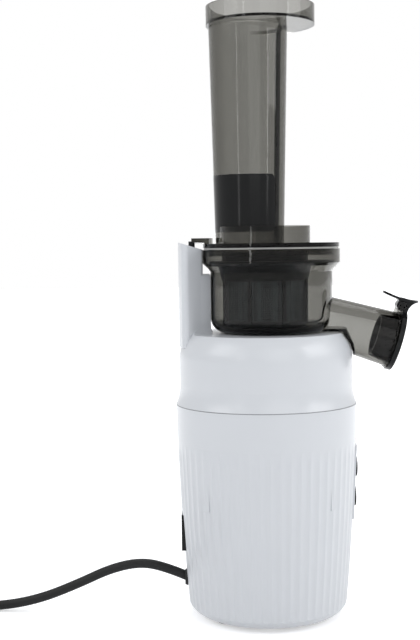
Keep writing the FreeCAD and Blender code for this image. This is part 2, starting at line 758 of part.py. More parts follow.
def indicator_lens():
    length = wall_radius(LENS_Z) + 0.4 - (wall_radius(LENS_Z) - WALL - 1)
    start = wall_radius(LENS_Z) - WALL - 1
    lens = Part.makeCylinder(LENS_R, length, V(start, 0, LENS_Z), V(1, 0, 0))
    return lens.fuse(Part.makeCylinder(LENS_R + 0.8, 1.0, V(start, 0, LENS_Z), V(1, 0, 0)))


# Rocker switch
def rocker_opening(margin):
    half_y = ROCKER_HALF_WIDTH + ROCKER_FRAME + margin
    half_z = ROCKER_HALF_HEIGHT + ROCKER_FRAME + margin
    solid = block(-SEAM_R - 5, -40, -half_y, half_y, ROCKER_Z - half_z, ROCKER_Z + half_z)
    return rounded(solid, 1.5, lies_along_x)


def rocker_pivot_x():
    return -wall_radius(ROCKER_Z) + 7.0


def rocker_frame():
    skin_x = -wall_radius(ROCKER_Z)
    outer = rocker_opening(0).common(block(skin_x - 1.0, skin_x + 13, -30, 30, 0, 100))
    room = block(skin_x - 5, skin_x + 11, -ROCKER_HALF_WIDTH - PLAY, ROCKER_HALF_WIDTH + PLAY,
                 ROCKER_Z - ROCKER_HALF_HEIGHT, ROCKER_Z + ROCKER_HALF_HEIGHT)
    pins = Part.makeCylinder(1.0 + SLIP, 40, V(rocker_pivot_x(), -20, ROCKER_Z), V(0, 1, 0))
    return outer.cut([room, pins])


def rocker():
    pivot_x = rocker_pivot_x()
    drum = Part.makeCylinder(ROCKER_R + 0.8, 2 * ROCKER_HALF_WIDTH, V(pivot_x, -ROCKER_HALF_WIDTH, ROCKER_Z), V(0, 1, 0))
    hollow = V(pivot_x - 22.5, -20, ROCKER_Z)
    drum = drum.cut(Part.makeCylinder(16.0, 40, hollow, V(0, 1, 0)))
    drum = drum.cut(block(pivot_x + 2.5, pivot_x + 20, -20, 20, ROCKER_Z - 20, ROCKER_Z + 20))
    pin = Part.makeCylinder(1.0, 2 * ROCKER_HALF_WIDTH + 2.4, V(pivot_x, -ROCKER_HALF_WIDTH - 1.2, ROCKER_Z), V(0, 1, 0))
    drum = drum.fuse(pin)
    drum.rotate(V(pivot_x, 0, ROCKER_Z), V(0, 1, 0), -ROCKER_SWING / 2)
    return drum


# Interlock
def plunger():
    low = TOWER_TOP_Z - 16
    stem = cylinder(PLUNGER_R, low, PLUNGER_TOP_Z, PLUNGER_X)
    return stem.fuse(cylinder(PLUNGER_R + 0.9, low - 1.5, low, PLUNGER_X)).removeSplitter()


def interlock_switch():
    top = TOWER_TOP_Z - 16 - 1.5 - PLUNGER_TRAVEL - PLAY
    case = block(PLUNGER_X - 3, PLUNGER_X + 6, -7, 7, top - 12, top)
    case = case.common(tower_solid(TOWER_WALL, top - 13, top + 1))
    legs = [block(PLUNGER_X, PLUNGER_X + 1, y - 1, y + 1, top - 17, top - 12) for y in (-4, 4)]
    return case.fuse(legs)


# Bowl with its spout and pulp duct
def spout_place(u, v, y=0.0):
    tilt = math.radians(SPOUT_TILT)
    x = SPOUT_X + u * math.cos(tilt) + v * math.sin(tilt)
    z = SPOUT_Z - u * math.sin(tilt) + v * math.cos(tilt)
    return V(x, y, z)


def spout_axis():
    tilt = math.radians(SPOUT_TILT)
    return V(math.cos(tilt), 0, -math.sin(tilt))


def spout_cone(inset, start, end):
    low_r = SPOUT_R + SPOUT_TAPER * start - inset
    high_r = SPOUT_R + SPOUT_TAPER * end - inset
    return Part.makeCone(low_r, high_r, end - start, spout_place(start, 0), spout_axis())


def bowl_outline(inset, top):
    corner = (BOWL_ROUND - inset) * math.sqrt(0.5)
    low = DECK_Z + PLAY + (BOWL_FLOOR if inset else 0)
    side = BOWL_R - inset
    flat = BOWL_R - BOWL_ROUND
    turn_z = low + BOWL_ROUND - inset
    return turned(
        (0, low),
        [
            [(flat, low)],
            [(flat + corner, turn_z - corner), (side, turn_z)],
            [(side, SHOULDER_LOW_Z)],
            [(BOWL_RIM_R - inset, SHOULDER_HIGH_Z)],
            [(BOWL_RIM_R - inset, top)],
            [(0, top)],
        ],
        BOWL_X,
    )


def bowl():
    spout = spout_cone(0, -SPOUT_LENGTH, 0).cut(deck_envelope(SPOUT_CLEAR))
    bead = Part.makeTorus(SPOUT_R - 0.1, 0.9, spout_place(-0.9, 0), spout_axis())
    duct_top = DUCT_Z + DUCT_HEIGHT
    duct = block(-DUCT_HALF, DUCT_HALF, 25, DUCT_REACH, DECK_Z + 1, duct_top + BOWL_WALL)
    lug = Part.makeCylinder(STOPPER_LUG_R, 2.2, spout_place(PIVOT_U, PIVOT_V, 4.9), V(0, 1, 0))
    foot = block(-STOPPER_LUG_R, -PIVOT_U - 0.2, 4.9, 7.1, -6, 0)
    foot.rotate(V(0, 0, 0), V(0, 1, 0), SPOUT_TILT)
    foot.translate(spout_place(PIVOT_U, PIVOT_V))
    lugs = [lug, foot, lug.mirror(V(0, 0, 0), V(0, 1, 0)), foot.mirror(V(0, 0, 0), V(0, 1, 0))]
    body = bowl_outline(0, RIM_Z).fuse([spout, duct] + lugs)
    inside = bowl_outline(BOWL_WALL, RIM_Z + 1)
    bore = spout_cone(SPOUT_WALL, -SPOUT_LENGTH - 6, 2).cut(deck_envelope(SPOUT_CLEAR + SPOUT_WALL))
    inner_half = DUCT_HALF - BOWL_WALL
    way = block(-inner_half, inner_half, 22, DUCT_REACH + 1, DUCT_Z, duct_top)
    body = body.cut([inside, bore, way])
    body = body.fuse(cylinder(HUB_R, DECK_Z + PLAY, HUB_TOP_Z))
    body = body.cut(cylinder(SHAFT_R + 0.6, DECK_Z - 1, HUB_TOP_Z + 1))
    body = body.cut(cylinder(HUB_R + PLAY, DECK_Z - 1, DECK_Z + 2.0))
    ledge = ring_sector(BOWL_RIM_R - 0.5, LID_SKIRT_R + LEDGE_CLEAR, LEDGE_SPAN, LUG_Z + LUG_HEIGHT + 0.4, RIM_Z)
    body = body.fuse(around(ledge, LUGS, 60, BOWL_X))
    pin = Part.makeCylinder(STOPPER_PIN_R, 14.2, spout_place(PIVOT_U, PIVOT_V, -7.1), V(0, 1, 0))
    return body.fuse([pin, bead.common(spout_cone(-2, -3, 0))]).removeSplitter()


def ring_sector(outer, inner, span, low, high):
    """Part of a ring about the bowl's axis, centred on the +X direction."""
    solid = Part.makeCylinder(outer, high - low, V(BOWL_X, 0, low), UP, span)
    solid = solid.cut(cylinder(inner, low - 1, high + 1, BOWL_X))
    return spun(solid, -span / 2, BOWL_X)


def stopper():
    disc = Part.makeCylinder(STOPPER_DISC_R, STOPPER_DISC, spout_place(PLAY, 0), spout_axis())
    mouth_r = SPOUT_R - SPOUT_WALL - PLAY
    tip_r = mouth_r - 2.0
    plug = Part.makeCone(tip_r, mouth_r, STOPPER_PLUG, spout_place(PLAY - STOPPER_PLUG, 0), spout_axis())
    hollow = Part.makeCone(tip_r - 1.8, mouth_r - 1.8, STOPPER_PLUG, spout_place(PLAY - STOPPER_PLUG - 0.01, 0), spout_axis())
    hub = Part.makeCylinder(STOPPER_HUB_R, 9.2, spout_place(PIVOT_U, PIVOT_V, -4.6), V(0, 1, 0))
    return disc.fuse([plug.cut(hollow), hub] + stopper_arm()).cut(
        Part.makeCylinder(STOPPER_PIN_R + SLIP, 20, spout_place(PIVOT_U, PIVOT_V, -10), V(0, 1, 0))
    ).removeSplitter()


def stopper_arm():
    arm = prism([(PLAY, STOPPER_DISC_R - 4), (PLAY + STOPPER_DISC, STOPPER_DISC_R - 4),
                 (PLAY + STOPPER_DISC, PAD_TOP_V - 1), (-2, PAD_TOP_V - 1), (-2, PIVOT_V), (PLAY, PIVOT_V - 2)], -4.6, 4.6)
    pad_mid = (PAD_FRONT - PAD_BACK) / 2
    points = [V(-PAD_BACK, PAD_TOP_V - 1.4, 0), V(pad_mid, PAD_TOP_V - 2.8, 0), V(PAD_FRONT, PAD_TOP_V - 1.4, 0)]
    top = [V(PAD_FRONT, PAD_TOP_V, 0), V(pad_mid, PAD_TOP_V - 1.3, 0), V(-PAD_BACK, PAD_TOP_V, 0)]
    edges = [
        Part.Arc(*points).toShape(),
        Part.LineSegment(points[2], top[0]).toShape(),
        Part.Arc(*top).toShape(),
        Part.LineSegment(top[2], points[0]).toShape(),
    ]
    pad = Part.Face(Part.Wire(edges)).extrude(V(0, 0, 18))
    pad.translate(V(0, 0, -9))
    plan = Part.makeCylinder(11.6, 40, V(pad_mid, PAD_TOP_V - 20, 0), V(0, 1, 0))
    pad = pad.common(plan)
    placed = []
    for shape in (arm, pad):
        shape.rotate(V(0, 0, 0), V(1, 0, 0), 90)
        shape.rotate(V(0, 0, 0), V(0, 1, 0), SPOUT_TILT)
        shape.translate(V(SPOUT_X, 0, SPOUT_Z))
        placed.append(shape)
    return placed


# Strainer and auger
def strainer_frame():
    inner = STRAINER_R - STRAINER_WALL
    band = ring(STRAINER_R, inner, MESH_TOP_Z, STRAINER_TOP_Z)
    flange_r = LID_SKIRT_R + LEDGE_CLEAR - PLAY
    flange_z = SHOULDER_HIGH_Z - 1.2
    flange = cylinder(flange_r, flange_z, flange_z + FLANGE, BOWL_X).cut(cylinder(inner, flange_z - 1, flange_z + 5))
    cuff = cone(STRAINER_R, STRAINER_R + 2.4, MESH_TOP_Z, flange_z).cut(cylinder(inner, MESH_TOP_Z - 1, flange_z + 1))
    floor = ring(STRAINER_R, HUB_R + 0.5, STRAINER_Z, STRAINER_Z + 2)
    foot = ring(STRAINER_R, inner, STRAINER_Z, STRAINER_Z + 4)
    rib = block(STRAINER_R - 0.6, STRAINER_R + 0.8, -1.1, 1.1, STRAINER_Z + 1, MESH_TOP_Z + 1)
    ribs = around(rib, STRAINER_RIBS, 22.5)
    body = joined([band, flange, cuff, floor, foot] + ribs)
    gate = block(-DUCT_HALF + BOWL_WALL, DUCT_HALF - BOWL_WALL, 15, 32, STRAINER_Z + 2, STRAINER_Z + 12)
    return body.cut(gate)


def strainer_mesh():
    outer = STRAINER_R - 0.6
    mesh = ring(outer, outer - MESH_WALL, STRAINER_Z + 4, MESH_TOP_Z)
    gate = block(-DUCT_HALF + BOWL_WALL, DUCT_HALF - BOWL_WALL, 15, 32, STRAINER_Z + 2, STRAINER_Z + 12)
    return mesh.cut(gate)


def flight(start):
    """A helical flight, from its root inside the core out to the strainer's wall."""
    length = AUGER_TOP_Z - AUGER_Z - FLIGHT_THICK
    path = Part.makeHelix(FLIGHT_PITCH, length, AUGER_R)
    root = CORE_TOP_R - 3
    half = FLIGHT_THICK / 2
    profile = [V(root, 0, -half - 0.6), V(AUGER_R, 0, -half + 0.6), V(AUGER_R, 0, half - 0.6), V(root, 0, half + 0.6)]
    wire = Part.makePolygon(profile + profile[:1])
    shell = Part.BRepOffsetAPI.MakePipeShell(path)
    shell.setFrenetMode(True)
    shell.add(wire)
    shell.build()
    shell.makeSolid()
    solid = shell.shape()
    solid.translate(V(0, 0, AUGER_Z + half))
    solid.rotate(V(0, 0, 0), UP, start)
    return solid


def auger():
    core = cone(CORE_BOTTOM_R, CORE_TOP_R, AUGER_Z, AUGER_TOP_Z)
    skirt = cylinder(AUGER_R - 1.0, AUGER_Z, AUGER_Z + 3)
    pin = cylinder(TOP_PIN_R, AUGER_TOP_Z, LID_Z - 0.8)
    flights = [flight(index * 360.0 / FLIGHT_STARTS) for index in range(FLIGHT_STARTS)]
    body = core.fuse([skirt, pin] + flights)
    body = body.cut(cylinder(HUB_R + 0.5, AUGER_Z - 1, HUB_TOP_Z + 0.6))
    return body.cut(hexagon(HEX_FLATS + 2 * SLIP, AUGER_Z, HEX_TOP_Z + 1))


# Feeding chute
def tube_radius(z):
    share = (z - LID_TOP_Z) / (HOPPER_Z - LID_TOP_Z)
    return TUBE_FOOT_R + (TUBE_TOP_R - TUBE_FOOT_R) * share


def feeding_chute():
    disc = cylinder(LID_R, LID_Z, LID_TOP_Z, BOWL_X)
    skirt = ring(LID_SKIRT_R, LID_SKIRT_R - CHUTE_WALL, LUG_Z, LID_Z, BOWL_X)
    lug = ring_sector(LID_SKIRT_R + 1.4, LID_SKIRT_R - 1, LUG_SPAN, LUG_Z, LUG_Z + LUG_HEIGHT)
    lug_start = (360.0 / LUGS - LEDGE_SPAN) / 2 - 2 - LUG_SPAN / 2
    lugs = around(lug, LUGS, lug_start, BOWL_X)
    boss = cylinder(TOP_PIN_R + 2.8, AUGER_TOP_Z + 1.2, LID_Z)
    collar = ring(COLLAR_R, COLLAR_R - CHUTE_WALL, LID_TOP_Z, COLLAR_TOP_Z)
    tube = cone(TUBE_FOOT_R, TUBE_TOP_R, LID_TOP_Z, HOPPER_Z, TUBE_X, TUBE_Y)
    hopper = cylinder(HOPPER_R, HOPPER_Z, TOP_Z, HOPPER_X, HOPPER_Y)
    cheek = cylinder(TUBE_TOP_R, HOPPER_Z, TOP_Z, TUBE_X, TUBE_Y)
    body = joined([disc, skirt, boss, collar, tube, hopper, cheek] + lugs)
    tab_low = LID_TOP_Z + PLAY
    tab = ring_sector(TAB_R, LID_R - 3, 2 * TAB_HALF_ANGLE, tab_low, tab_low + TAB_THICK)
    ramp_x = BOWL_X + LID_R
    ramp = prism([(tab_low - 1, 0), (tab_low, 0), (tab_low + 0.9, 7), (tab_low - 1, 7)], ramp_x, TAB_R + BOWL_X + 2)
    ramp.rotate(V(0, 0, 0), V(0, 1, 0), -90)
    ramp = ramp.mirror(V(0, 0, 0), V(1, 0, 0)) if ramp.BoundBox.XMax < 0 else ramp
    tab = tab.cut(ramp)
    root = ring_sector(LID_R, LID_R - 3, 2 * TAB_HALF_ANGLE, LID_TOP_Z - 1, tab_low + 1)
    arm = spun(tab.fuse(root), 180 - LID_TURN, BOWL_X)
    body = body.fuse(arm)
    bore = cone(TUBE_FOOT_R - CHUTE_WALL, TUBE_TOP_R - CHUTE_WALL, LID_TOP_Z, HOPPER_Z, TUBE_X, TUBE_Y)
    bowl_of_hopper = cylinder(HOPPER_R - CHUTE_WALL, HOPPER_Z + CHUTE_WALL, TOP_Z + 1, HOPPER_X, HOPPER_Y)
    cheek_inside = cylinder(TUBE_TOP_R - CHUTE_WALL, HOPPER_Z, TOP_Z + 1, TUBE_X, TUBE_Y)
    mouth = cylinder(TUBE_FOOT_R - CHUTE_WALL, LID_Z - 5, LID_TOP_Z, TUBE_X, TUBE_Y)
    mouth = mouth.cut([cylinder(TOP_PIN_R + 4.5, 0, 300), block(0, 40, -40, 40, 0, 300)])
    slot = joined([spun(cylinder(TOP_PIN_R + PLAY, AUGER_TOP_Z, LID_Z), -turn, BOWL_X) for turn in (0, LID_TURN / 2, LID_TURN)])
    return body.cut([bore, bowl_of_hopper, cheek_inside, mouth, slot])


def lid_seal():
    return ring(LID_R - 0.6, LID_SKIRT_R + PLAY, RIM_Z + SLIP, LID_Z - SLIP, BOWL_X)


# Mains cord
LEAD_POINTS = [
    (-50.5, 0.0, 23.5), (-63.0, 0.0, 29.0), (-80.0, 0.0, 33.5), (-100.0, 1.0, 29.5), (-122.0, 3.0, 19.0),
    (-147.0, 6.0, 8.6), (-172.0, 9.0, 3.3), (-197.0, 9.9, 3.1), (COIL_X, COIL_Y + COIL_OUTER_R, COIL_LOW_Z),
]
COIL_END_X = COIL_X - COIL_OUTER_R
COIL_TOP_Z = COIL_LOW_Z + COIL_LAYER
TAIL_POINTS = [
    (COIL_END_X, COIL_Y, COIL_TOP_Z), (COIL_END_X, COIL_Y - 11.0, COIL_TOP_Z - 0.4),
    (COIL_END_X + 0.5, COIL_Y - 22.0, COIL_TOP_Z - 1.9), (COIL_END_X + 1.3, COIL_Y - 33.0, COIL_TOP_Z - 3.0),
]


def rounded_route(points, label):
    """Straight runs joined by tangent arcs, each as large as its two runs allow."""
    corners = [V(*point) for point in points]
    edges = []
    radii = []
    here = corners[0]
    for before, corner, after in zip(corners, corners[1:], corners[2:]):
        run_in = corner - before
        run_out = after - corner
        turn = run_in.getAngle(run_out)
        shorter = min(run_in.Length, run_out.Length)
        radius = 0.45 * shorter / math.tan(turn / 2)
        setback = 0.45 * shorter
        arrive = corner - V(run_in).normalize() * setback
        leave = corner + V(run_out).normalize() * setback
        inward = (V(run_out).normalize() - V(run_in).normalize()).normalize()
        middle = corner + inward * (radius / math.cos(turn / 2) - radius)
        edges.append(Part.LineSegment(here, arrive).toShape())
        edges.append(Part.Arc(arrive, middle, leave).toShape())
        radii.append(radius)
        here = leave
    edges.append(Part.LineSegment(here, corners[-1]).toShape())
    wire = Part.Wire(edges)
    print(label, "radii", " ".join("%.0f" % radius for radius in radii), "length %.1f" % wire.Length)
    return wire


def cord_tube(points, label):
    wire = rounded_route(points, label)
    start = V(*points[0])
    heading = V(*points[1]) - start
    section = Part.Wire(Part.makeCircle(CORD_R, start, heading))
    tube = wire.makePipeShell([section], True, False)
    print(label, "volume over section times length %.4f" % (tube.Volume / (math.pi * CORD_R ** 2 * wire.Length)))
    return tube


def coil_point(turn):
    """A point of the coil after so many turns: in on the low layer, out again on the high one."""
    middle = COIL_TURNS / 2
    radius = COIL_OUTER_R - COIL_STEP * (middle - abs(turn - middle))
    rise = min(1.0, max(0.0, turn - middle + 0.25) / 0.5)
    z = COIL_LOW_Z + COIL_LAYER * (rise * rise * (3 - 2 * rise))
    angle = math.radians(90 + 360 * turn)
    return V(COIL_X + radius * math.cos(angle), COIL_Y + radius * math.sin(angle), z)


def coil_heading(turn):
    step = 0.001
    low = max(0.0, turn - step)
    high = min(COIL_TURNS, turn + step)
    heading = (coil_point(high) - coil_point(low)).normalize()
    if turn < step:
        return V(-1, 0, 0)
    if turn > COIL_TURNS - step:
        return V(0, -1, 0)
    return heading


def biarc(start, start_way, end, end_way):
    gap = end - start
    both = start_way + end_way
    a = 2 * (start_way.dot(end_way) - 1)
    b = -2 * gap.dot(both)
    c = gap.dot(gap)
    reach = (-b - math.sqrt(b * b - 4 * a * c)) / (2 * a)
    if reach < 0:
        reach = (-b + math.sqrt(b * b - 4 * a * c)) / (2 * a)
    join = (start + end + (start_way - end_way) * reach) * 0.5
    return [arc_from(start, start_way, join), arc_from(end, -end_way, join)]


def arc_from(start, way, end):
    """The arc that leaves start along way and ends at end."""
    chord = end - start
    half = way.getAngle(chord)
    side = (chord - way * chord.dot(way)).normalize()
    radius = chord.Length / (2 * math.sin(half))
    middle = start + way * (radius * math.sin(half)) + side * (radius * (1 - math.cos(half)))
    return Part.Arc(start, middle, end).toShape()


def cord_coil():
    steps = int(round(COIL_TURNS * 4))
    turns = [COIL_TURNS * index / steps for index in range(steps + 1)]
    edges = []
    for low, high in zip(turns, turns[1:]):
        edges += biarc(coil_point(low), coil_heading(low), coil_point(high), coil_heading(high))
    wire = Part.Wire(Part.__sortEdges__(edges))
    spots = [coil_point(COIL_TURNS * index / 600) for index in range(601)]
    near = []
    for index, spot in enumerate(spots):
        near += [(spot - other).Length for other in spots[index + 60:]]
    print("coil length %.1f" % wire.Length, "least gap %.2f" % (min(near) - 2 * CORD_R))
    start = coil_point(0)
    section = Part.Wire(Part.makeCircle(CORD_R, start, V(-1, 0, 0)))
    return wire.makePipeShell([section], True, False)


def cord_grommet():
    """A bush in the wall, with a flange that is moulded to the barrel outside it."""
    skin_x = -wall_radius(CORD_EXIT_Z)
    neck_r = GROMMET_R - GROMMET_LIP
    flange = Part.makeCone(GROMMET_R - 0.8, GROMMET_R, 2.0, V(skin_x - GROMMET_PROUD, 0, CORD_EXIT_Z), V(1, 0, 0))
    flange = flange.cut(barrel(RUN, CORD_EXIT_Z - 2 * GROMMET_R, CORD_EXIT_Z + 2 * GROMMET_R))
    neck = Part.makeCylinder(neck_r, WALL + 2.0, V(skin_x - 1.0, 0, CORD_EXIT_Z), V(1, 0, 0))
    inner = Part.makeCylinder(GROMMET_R, 1.5, V(skin_x + WALL + 0.8, 0, CORD_EXIT_Z), V(1, 0, 0))
    return flange.fuse([neck, inner]).removeSplitter()


def plug_place():
    end = V(*TAIL_POINTS[-1])
    way = (end - V(*TAIL_POINTS[-2]))
    way.z = 0
    return end, way.normalize()


def lay_plug(shape):
    end, way = plug_place()
    shape.rotate(V(0, 0, 0), UP, math.degrees(math.atan2(way.y, way.x)))
    shape.translate(end)
    return shape


def plug_body():
    neck = Part.makeCone(CORD_R + 0.6, 5.0, 12, V(0, 0, 0), V(1, 0, 0))
    grip = block(11, PLUG_LENGTH, -9, 9, -6.5, 6.5)
    grip = rounded(grip, 4, lies_along_x)
    face = block(PLUG_LENGTH - 2, PLUG_LENGTH, -17, 17, -6.5, 6.5)
    face = rounded(face, 5, lies_along_x)
    return lay_plug(neck.fuse([grip, face]).removeSplitter())


def plug_pins():
    pins = [Part.makeCylinder(2.0, 19, V(PLUG_LENGTH, side * 9.5, 0), V(1, 0, 0)) for side in (-1, 1)]
    return lay_plug(Part.makeCompound(pins))


def cord_tie():
    middle = COIL_OUTER_R - COIL_STEP * COIL_TURNS / 4
    reach = COIL_STEP * COIL_TURNS / 4 + CORD_R + 1
    outer = block(middle - reach - 1.2, middle + reach + 1.2, -2.5, 2.5, 0, COIL_TOP_Z + CORD_R + 1.4)
    inner = block(middle - reach, middle + reach, -3, 3, 0.02, COIL_TOP_Z + CORD_R + 0.4)
    tie = outer.cut(inner)
    tie.rotate(V(0, 0, 0), UP, -45)
    tie.translate(V(COIL_X, COIL_Y, 0))
    return tie


PARTS = {
    "lower_housing": lower_housing,
    "base_plate": base_plate,
    "rubber_feet": rubber_feet,
    "base_screws": base_screws,
    "upper_housing": upper_housing,
    "shaft_seal": shaft_seal,
    "drive_gear": drive_gear,
    "drive_shaft": drive_shaft,
    "second_idler_gear": second_idler,
    "first_idler_gear": first_idler,
    "motor_pinion": motor_pinion,
    "drive_bearings": drive_bearings,
    "gearbox_frame": gearbox_frame,
    "gearbox_cover": gearbox_cover,
    "idler_axles": idler_axles,
    "gearbox_screws": frame_screws,
    "motor_can": motor_can,
    "motor_magnets": motor_magnets,
    "motor_end_bell": motor_end_bell,
    "motor_bearings": motor_bearings,
    "motor_armature": armature,
    "motor_shaft": motor_shaft,
    "front_bezel": front_bezel,
    "panel_face": panel_face,
    "start_button": lambda: push_button(START_Z),
    "reverse_button": lambda: push_button(REVERSE_Z),
    "control_board": control_board,
    "indicator_lens": indicator_lens,
    "rocker_frame": rocker_frame,
    "mains_rocker": rocker,
    "interlock_plunger": plunger,
    "interlock_switch": interlock_switch,
    "juice_bowl": bowl,
    "spout_stopper": stopper,
    "strainer_frame": strainer_frame,
    "strainer_mesh": strainer_mesh,
    "auger": auger,
    "feeding_chute": feeding_chute,
    "lid_seal": lid_seal,
    "cord_grommet": cord_grommet,
    "cord_lead": lambda: cord_tube(LEAD_POINTS, "lead"),
    "cord_coil": cord_coil,
    "cord_tail": lambda: cord_tube(TAIL_POINTS, "tail"),
    "plug_body": plug_body,
    "plug_pins": plug_pins,
    "cord_tie": cord_tie,
}

for name, make in PARTS.items():
    shape = make()
    shape.exportStep("parts/%s.step" % name)
    print(name, len(shape.Solids), "solids", "%.0f mm3" % shape.Volume, "valid" if shape.isValid() else "NOT VALID")
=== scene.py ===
import json
import math

import bmesh
import bpy
from mathutils import Matrix, Vector


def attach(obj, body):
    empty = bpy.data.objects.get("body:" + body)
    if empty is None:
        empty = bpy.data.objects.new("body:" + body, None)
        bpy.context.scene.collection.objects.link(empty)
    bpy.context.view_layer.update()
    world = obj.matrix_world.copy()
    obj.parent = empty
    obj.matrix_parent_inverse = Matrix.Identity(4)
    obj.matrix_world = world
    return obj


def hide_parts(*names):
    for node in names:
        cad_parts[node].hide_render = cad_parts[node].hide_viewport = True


# Cold press juicer: looks around the CAD frame. Lengths are metres, except where a comment says millimetres.
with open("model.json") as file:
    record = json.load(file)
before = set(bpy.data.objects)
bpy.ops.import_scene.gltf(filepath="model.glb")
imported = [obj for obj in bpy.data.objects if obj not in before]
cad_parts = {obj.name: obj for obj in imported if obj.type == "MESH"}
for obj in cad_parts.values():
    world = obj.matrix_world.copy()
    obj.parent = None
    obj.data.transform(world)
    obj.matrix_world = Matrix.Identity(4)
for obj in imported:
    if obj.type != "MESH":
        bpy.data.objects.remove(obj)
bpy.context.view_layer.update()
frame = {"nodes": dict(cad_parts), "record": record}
nodes = frame["nodes"]
MM = 0.001


# Shader helpers
def new_material(name):
    material = bpy.data.materials.new(name)
    material.use_nodes = True
    tree = material.node_tree
    shader = tree.nodes["Principled BSDF"]
    return material, tree, shader


def link(tree, source, target):
    tree.links.new(source, target)


def node(tree, kind, **inputs):
    """A new shader node, with the inputs that are named set."""
    made = tree.nodes.new(kind)
    for key, value in inputs.items():
        made.inputs[key.replace("_", " ")].default_value = value
    return made


def noise(tree, scale, detail, stretch=(1, 1, 1)):
    """Object-space noise, stretched along the axes."""
    place = tree.nodes.new("ShaderNodeTexCoord")
    mapping = tree.nodes.new("ShaderNodeMapping")
    mapping.inputs["Scale"].default_value = stretch
    link(tree, place.outputs["Object"], mapping.inputs["Vector"])
    texture = node(tree, "ShaderNodeTexNoise", Scale=scale, Detail=detail)
    link(tree, mapping.outputs["Vector"], texture.inputs["Vector"])
    return texture.outputs["Fac"]


def spread(tree, value, low, high):
    """A factor spread between two values."""
    ramp = node(tree, "ShaderNodeMapRange", To_Min=low, To_Max=high)
    link(tree, value, ramp.inputs["Value"])
    return ramp.outputs["Result"]


def blended(tree, factor, first, second):
    """The first colour where the factor is 0, and the second where it is 1."""
    mix = tree.nodes.new("ShaderNodeMix")
    mix.data_type = "RGBA"
    mix.inputs[6].default_value = (*first, 1)
    mix.inputs[7].default_value = (*second, 1)
    link(tree, factor, mix.inputs[0])
    return mix.outputs[2]


def bump(tree, shader, height, strength, distance):
    made = node(tree, "ShaderNodeBump", Strength=strength, Distance=distance)
    link(tree, height, made.inputs["Height"])
    link(tree, made.outputs["Normal"], shader.inputs["Normal"])


# Roughness of a clear coat, smoked plastic's index of refraction, and the mirroring of dark plastics
COAT_ROUGHNESS = 0.04
SMOKED_IOR = 1.25
DARK_SPECULAR = 0.14


def plastic(name, colour, other, rough, grain, depth, coat=0.0, specular=0.5):
    """Moulded plastic: faint drift of colour, uneven gloss and a fine moulded grain."""
    material, tree, shader = new_material(name)
    drift = noise(tree, scale=35, detail=2)
    link(tree, blended(tree, drift, colour, other), shader.inputs["Base Color"])
    gloss = noise(tree, scale=90, detail=4)
    link(tree, spread(tree, gloss, *rough), shader.inputs["Roughness"])
    bump(tree, shader, noise(tree, grain, detail=2), strength=0.25, distance=depth)
    shader.inputs["Specular IOR Level"].default_value = specular
    shader.inputs["Coat Weight"].default_value = coat
    shader.inputs["Coat Roughness"].default_value = COAT_ROUGHNESS
    return material


def smoked(name, tint, depth_colour, density):
    """Smoked clear plastic with faint streaks and ripples from moulding, darker where it is thick."""
    material, tree, shader = new_material(name)
    streaks = noise(tree, scale=110, detail=3, stretch=(1, 1, 0.03))
    deeper = tuple(0.80 * channel for channel in tint)
    link(tree, blended(tree, streaks, tint, deeper), shader.inputs["Base Color"])
    shader.inputs["Transmission Weight"].default_value = 1.0
    shader.inputs["Roughness"].default_value = 0.03
    shader.inputs["IOR"].default_value = SMOKED_IOR
    shader.inputs["Specular IOR Level"].default_value = DARK_SPECULAR
    ripples = noise(tree, scale=60, detail=1, stretch=(1, 1, 0.35))
    bump(tree, shader, ripples, strength=0.12, distance=0.0006)
    soak = node(tree, "ShaderNodeVolumeAbsorption", Density=density)
    soak.inputs["Color"].default_value = (*depth_colour, 1)
    link(tree, soak.outputs["Volume"], tree.nodes["Material Output"].inputs["Volume"])
    return material


def metal(name, colour, rough, stretch=(1, 1, 1)):
    """Metal with a fine brushed or cut surface."""
    material, tree, shader = new_material(name)
    shader.inputs["Metallic"].default_value = 1.0
    darker = tuple(0.82 * channel for channel in colour)
    brushed = noise(tree, scale=220, detail=4, stretch=stretch)
    link(tree, blended(tree, brushed, colour, darker), shader.inputs["Base Color"])
    link(tree, spread(tree, brushed, *rough), shader.inputs["Roughness"])
    bump(tree, shader, brushed, strength=0.15, distance=0.0001)
    return material


def mesh_steel():
    """Fine strainer mesh: rows of round holes in grey steel, the holes painted near-black as painted shade
    for the dark inside seen through them.
    """
    material, tree, shader = new_material("strainer_mesh_steel")
    place = tree.nodes.new("ShaderNodeTexCoord")
    cells = node(tree, "ShaderNodeTexVoronoi", Scale=900, Randomness=0.0)
    link(tree, place.outputs["Object"], cells.inputs["Vector"])
    holes = node(tree, "ShaderNodeMapRange", From_Min=0.30, From_Max=0.42)
    link(tree, cells.outputs["Distance"], holes.inputs["Value"])
    # Painted shade: the holes are near-black for the dark inside behind them
    shade_in_holes_colour = (0.006, 0.008, 0.009)
    steel_colour = (0.07, 0.085, 0.095)
    steel = blended(tree, holes.outputs["Result"], shade_in_holes_colour, steel_colour)
    link(tree, steel, shader.inputs["Base Color"])
    shader.inputs["Metallic"].default_value = 0.6
    shader.inputs["Roughness"].default_value = 0.42
    bump(tree, shader, holes.outputs["Result"], strength=0.4, distance=0.0003)
    return material


def rubber(name, colour, grain=450):
    """Matte rubber or soft PVC, a little paler in spots."""
    material, tree, shader = new_material(name)
    paler = tuple(1.5 * channel + 0.004 for channel in colour)
    drift = noise(tree, scale=70, detail=4)
    link(tree, blended(tree, drift, colour, paler), shader.inputs["Base Color"])
    sheen = noise(tree, scale=200, detail=3)
    link(tree, spread(tree, sheen, low=0.48, high=0.68), shader.inputs["Roughness"])
    shader.inputs["Specular IOR Level"].default_value = 0.25
    bump(tree, shader, noise(tree, grain, detail=3), strength=0.3, distance=0.0002)
    return material


def grey(level, cool=0.0):
    """A grey, a little bluer when cool."""
    return (level, level * (1 + cool), level * (1 + 2 * cool))


